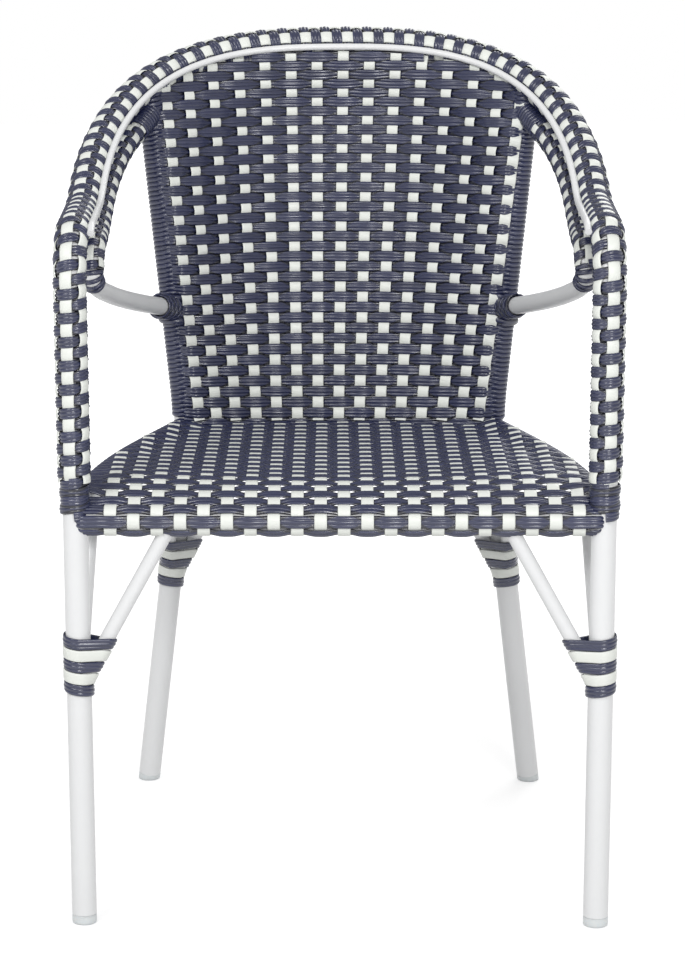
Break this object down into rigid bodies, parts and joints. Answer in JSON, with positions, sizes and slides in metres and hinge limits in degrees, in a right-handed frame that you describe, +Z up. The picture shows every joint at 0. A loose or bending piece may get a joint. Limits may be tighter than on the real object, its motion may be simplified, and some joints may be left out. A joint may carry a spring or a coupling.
{
  "type": "woven bistro armchair",
  "caption": "Bistro armchair with a white tube frame, a woven seat and back, and a woven hoop that forms the front legs, the arms and the top of the back.",
  "frame": {"origin": "on the floor, under the middle of the chair's width and depth", "axes": "+Z up, the front faces -Y"},
  "size_m": [0.5584, 0.5114, 0.8753],
  "materials": {
    "white_tube": "white powder coat, semi-gloss",
    "navy_weave": "ribbed plastic strand, satin, with white strands woven in",
    "navy_binding": "ribbed plastic strand, satin",
    "pale_cap": "smooth, slightly translucent"
  },
  "bodies": {
    "root": {"arm_support_left": "white_tube", "arm_support_right": "white_tube", "arm_support_sleeve_left": "navy_weave", "arm_support_sleeve_right": "navy_weave", "back_leg_left": "white_tube", "back_leg_right": "white_tube", "back_panel": "navy_weave", "bead_rod": "white_tube", "corner_binding_left": "navy_binding", "corner_binding_right": "navy_binding", "front_brace_left": "white_tube", "front_brace_right": "white_tube", "front_foot_cap_left": "pale_cap", "front_foot_cap_right": "pale_cap", "front_joint_winding_left": "navy_binding", "front_joint_winding_right": "navy_binding", "front_side_brace_left": "white_tube", "front_side_brace_right": "white_tube", "hoop_sleeve": "navy_weave", "hoop_tube": "white_tube", "rear_brace_left": "white_tube", "rear_brace_right": "white_tube", "rear_foot_cap_left": "pale_cap", "rear_foot_cap_right": "pale_cap", "rear_joint_winding_left": "navy_binding", "rear_joint_winding_right": "navy_binding", "rear_side_brace_left": "white_tube", "rear_side_brace_right": "white_tube", "seat_front_rail": "white_tube", "seat_panel": "navy_weave", "seat_rear_rail": "white_tube", "seat_side_rail_left": "white_tube", "seat_side_rail_right": "white_tube", "stile_binding_left": "navy_binding", "stile_binding_right": "navy_binding", "support_nose_binding_left": "navy_binding", "support_nose_binding_right": "navy_binding", "support_rear_binding_left": "navy_binding", "support_rear_binding_right": "navy_binding", "support_top_binding_left": "navy_binding", "support_top_binding_right": "navy_binding"}
  },
  "joints": []
}
